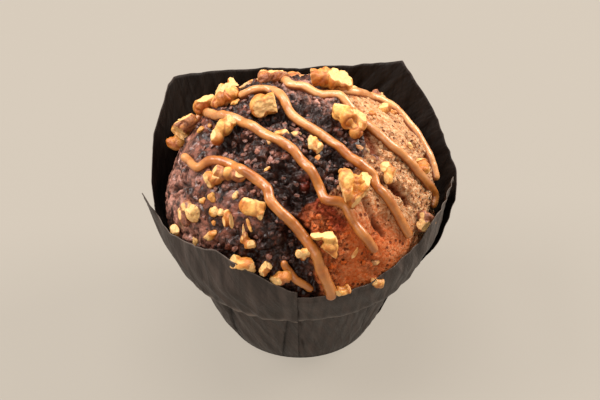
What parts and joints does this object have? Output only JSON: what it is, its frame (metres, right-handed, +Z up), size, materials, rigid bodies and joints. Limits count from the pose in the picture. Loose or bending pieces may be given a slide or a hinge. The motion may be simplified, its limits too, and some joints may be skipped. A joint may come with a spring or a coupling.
{
  "type": "muffin",
  "caption": "Large two-tone muffin in a dark tulip paper case, its risen top dressed with caramel drizzle and walnut pieces.",
  "frame": {"origin": "centre of the flat underside of the paper case", "axes": "+Z up through the top of the muffin, -Y towards the low front of the case and its seam, +X to the right"},
  "size_m": [0.1014, 0.097, 0.0904],
  "materials": {
    "paper": "matte",
    "crumb": "matte",
    "caramel": "gloss",
    "walnut": "satin"
  },
  "bodies": {
    "root": {"tulip_case": "paper", "muffin_crumb": "crumb", "caramel_drizzle_1": "caramel", "caramel_drizzle_2": "caramel", "caramel_drizzle_3": "caramel", "caramel_drizzle_4": "caramel", "caramel_drizzle_5": "caramel", "caramel_drizzle_6": "caramel", "caramel_drizzle_7": "caramel", "caramel_drizzle_8": "caramel", "walnut_piece_1": "walnut", "walnut_piece_2": "walnut", "walnut_piece_3": "walnut", "walnut_piece_4": "walnut", "walnut_piece_5": "walnut", "walnut_piece_6": "walnut", "walnut_piece_7": "walnut", "walnut_piece_8": "walnut", "walnut_piece_9": "walnut", "walnut_piece_10": "walnut", "walnut_piece_11": "walnut", "walnut_piece_12": "walnut", "walnut_piece_13": "walnut", "walnut_piece_14": "walnut", "walnut_piece_15": "walnut", "walnut_piece_16": "walnut", "walnut_piece_17": "walnut", "walnut_piece_18": "walnut", "walnut_piece_19": "walnut", "walnut_piece_20": "walnut", "walnut_piece_21": "walnut", "walnut_piece_22": "walnut", "walnut_piece_23": "walnut", "walnut_piece_24": "walnut", "walnut_piece_25": "walnut", "walnut_piece_26": "walnut", "walnut_piece_27": "walnut", "walnut_piece_28": "walnut", "walnut_piece_29": "walnut", "walnut_piece_30": "walnut", "walnut_piece_31": "walnut", "walnut_piece_32": "walnut", "walnut_piece_33": "walnut", "walnut_piece_34": "walnut", "walnut_piece_35": "walnut", "walnut_piece_36": "walnut", "walnut_piece_37": "walnut", "walnut_piece_38": "walnut", "walnut_piece_39": "walnut"}
  },
  "joints": []
}
